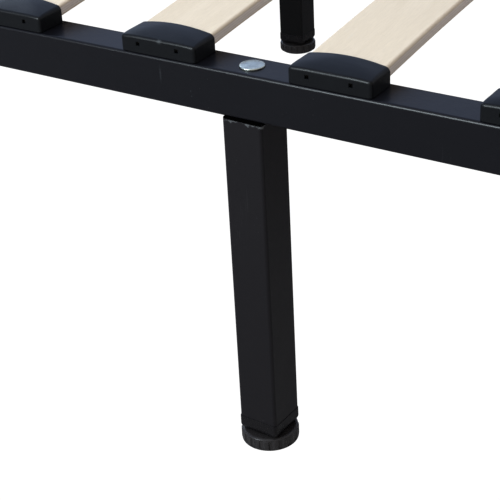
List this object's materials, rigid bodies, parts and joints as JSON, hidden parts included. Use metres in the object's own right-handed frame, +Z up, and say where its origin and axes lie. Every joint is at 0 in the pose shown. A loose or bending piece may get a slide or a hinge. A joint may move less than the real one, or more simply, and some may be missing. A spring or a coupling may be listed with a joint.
{
  "type": "metal bed frame",
  "caption": "Black steel bed frame on square legs with screw-in feet, a centre beam and sprung wooden slats held in plastic caps.",
  "frame": {"origin": "on the floor under the middle of the bed", "axes": "+X towards the foot of the bed, +Y across it to the right, +Z up"},
  "size_m": [1.9, 1.3524, 0.3115],
  "materials": {
    "powder_coated_steel": "satin black powder coat",
    "zinc_plated_steel": "bright blue-white zinc plating",
    "cap_plastic": "fine-grained moulded black polypropylene",
    "insert_plastic": "smooth moulded black plastic",
    "foot_plastic": "semi-gloss moulded black nylon",
    "birch_plywood": "pale birch veneer, thin clear lacquer"
  },
  "bodies": {
    "frame": {"side_rail_left": "powder_coated_steel", "side_rail_right": "powder_coated_steel", "head_rail": "powder_coated_steel", "foot_rail": "powder_coated_steel", "centre_beam": "powder_coated_steel", "frame_bolts": "zinc_plated_steel", "frame_nuts": "zinc_plated_steel", "rail_end_plugs": "insert_plastic", "slat_caps": "cap_plastic", "centre_slat_holders": "cap_plastic", "leg_bolts": "zinc_plated_steel", "leg_inserts": "insert_plastic", "legs_left": "powder_coated_steel", "legs_right": "powder_coated_steel", "legs_centre": "powder_coated_steel", "slat_left_01": "birch_plywood", "slat_left_02": "birch_plywood", "slat_left_03": "birch_plywood", "slat_left_04": "birch_plywood", "slat_left_05": "birch_plywood", "slat_left_06": "birch_plywood", "slat_left_07": "birch_plywood", "slat_left_08": "birch_plywood", "slat_left_09": "birch_plywood", "slat_left_10": "birch_plywood", "slat_left_11": "birch_plywood", "slat_left_12": "birch_plywood", "slat_left_13": "birch_plywood", "slat_left_14": "birch_plywood", "slat_right_01": "birch_plywood", "slat_right_02": "birch_plywood", "slat_right_03": "birch_plywood", "slat_right_04": "birch_plywood", "slat_right_05": "birch_plywood", "slat_right_06": "birch_plywood", "slat_right_07": "birch_plywood", "slat_right_08": "birch_plywood", "slat_right_09": "birch_plywood", "slat_right_10": "birch_plywood", "slat_right_11": "birch_plywood", "slat_right_12": "birch_plywood", "slat_right_13": "birch_plywood", "slat_right_14": "birch_plywood"},
    "stud_left_head": {"foot_stud_left_head": "zinc_plated_steel"},
    "foot_left_head": {"foot_disc_left_head": "foot_plastic"},
    "stud_left_mid": {"foot_stud_left_mid": "zinc_plated_steel"},
    "foot_left_mid": {"foot_disc_left_mid": "foot_plastic"},
    "stud_left_foot": {"foot_stud_left_foot": "zinc_plated_steel"},
    "foot_left_foot": {"foot_disc_left_foot": "foot_plastic"},
    "stud_right_head": {"foot_stud_right_head": "zinc_plated_steel"},
    "foot_right_head": {"foot_disc_right_head": "foot_plastic"},
    "stud_right_mid": {"foot_stud_right_mid": "zinc_plated_steel"},
    "foot_right_mid": {"foot_disc_right_mid": "foot_plastic"},
    "stud_right_foot": {"foot_stud_right_foot": "zinc_plated_steel"},
    "foot_right_foot": {"foot_disc_right_foot": "foot_plastic"},
    "stud_centre_head": {"foot_stud_centre_head": "zinc_plated_steel"},
    "foot_centre_head": {"foot_disc_centre_head": "foot_plastic"},
    "stud_centre_foot": {"foot_stud_centre_foot": "zinc_plated_steel"},
    "foot_centre_foot": {"foot_disc_centre_foot": "foot_plastic"}
  },
  "joints": [
    {"name": "foot_travel_left_head", "type": "slide", "parent": "frame", "child": "stud_left_head", "axis": [0, 0, -1], "range_m": [0, 0.0126]},
    {"name": "foot_turn_left_head", "type": "hinge", "parent": "stud_left_head", "child": "foot_left_head", "pos_m": [-0.75, -0.65575, 0.0045], "axis": [0, 0, -1], "range_deg": [0, 3600]},
    {"name": "foot_travel_left_mid", "type": "slide", "parent": "frame", "child": "stud_left_mid", "axis": [0, 0, -1], "range_m": [0, 0.0126]},
    {"name": "foot_turn_left_mid", "type": "hinge", "parent": "stud_left_mid", "child": "foot_left_mid", "pos_m": [0, -0.65575, 0.0045], "axis": [0, 0, -1], "range_deg": [0, 3600]},
    {"name": "foot_travel_left_foot", "type": "slide", "parent": "frame", "child": "stud_left_foot", "axis": [0, 0, -1], "range_m": [0, 0.0126]},
    {"name": "foot_turn_left_foot", "type": "hinge", "parent": "stud_left_foot", "child": "foot_left_foot", "pos_m": [0.75, -0.65575, 0.0045], "axis": [0, 0, -1], "range_deg": [0, 3600]},
    {"name": "foot_travel_right_head", "type": "slide", "parent": "frame", "child": "stud_right_head", "axis": [0, 0, -1], "range_m": [0, 0.0126]},
    {"name": "foot_turn_right_head", "type": "hinge", "parent": "stud_right_head", "child": "foot_right_head", "pos_m": [-0.75, 0.65575, 0.0045], "axis": [0, 0, -1], "range_deg": [0, 3600]},
    {"name": "foot_travel_right_mid", "type": "slide", "parent": "frame", "child": "stud_right_mid", "axis": [0, 0, -1], "range_m": [0, 0.0126]},
    {"name": "foot_turn_right_mid", "type": "hinge", "parent": "stud_right_mid", "child": "foot_right_mid", "pos_m": [0, 0.65575, 0.0045], "axis": [0, 0, -1], "range_deg": [0, 3600]},
    {"name": "foot_travel_right_foot", "type": "slide", "parent": "frame", "child": "stud_right_foot", "axis": [0, 0, -1], "range_m": [0, 0.0126]},
    {"name": "foot_turn_right_foot", "type": "hinge", "parent": "stud_right_foot", "child": "foot_right_foot", "pos_m": [0.75, 0.65575, 0.0045], "axis": [0, 0, -1], "range_deg": [0, 3600]},
    {"name": "foot_travel_centre_head", "type": "slide", "parent": "frame", "child": "stud_centre_head", "axis": [0, 0, -1], "range_m": [0, 0.0126]},
    {"name": "foot_turn_centre_head", "type": "hinge", "parent": "stud_centre_head", "child": "foot_centre_head", "pos_m": [-0.369, 0, 0.0045], "axis": [0, 0, -1], "range_deg": [0, 3600]},
    {"name": "foot_travel_centre_foot", "type": "slide", "parent": "frame", "child": "stud_centre_foot", "axis": [0, 0, -1], "range_m": [0, 0.0126]},
    {"name": "foot_turn_centre_foot", "type": "hinge", "parent": "stud_centre_foot", "child": "foot_centre_foot", "pos_m": [0.369, 0, 0.0045], "axis": [0, 0, -1], "range_deg": [0, 3600]}
  ],
  "couplings": [
    {"joint": "foot_travel_left_head", "follows": "foot_turn_left_head", "m_per_rad": 0.00019894},
    {"joint": "foot_travel_left_mid", "follows": "foot_turn_left_mid", "m_per_rad": 0.00019894},
    {"joint": "foot_travel_left_foot", "follows": "foot_turn_left_foot", "m_per_rad": 0.00019894},
    {"joint": "foot_travel_right_head", "follows": "foot_turn_right_head", "m_per_rad": 0.00019894},
    {"joint": "foot_travel_right_mid", "follows": "foot_turn_right_mid", "m_per_rad": 0.00019894},
    {"joint": "foot_travel_right_foot", "follows": "foot_turn_right_foot", "m_per_rad": 0.00019894},
    {"joint": "foot_travel_centre_head", "follows": "foot_turn_centre_head", "m_per_rad": 0.00019894},
    {"joint": "foot_travel_centre_foot", "follows": "foot_turn_centre_foot", "m_per_rad": 0.00019894}
  ]
}
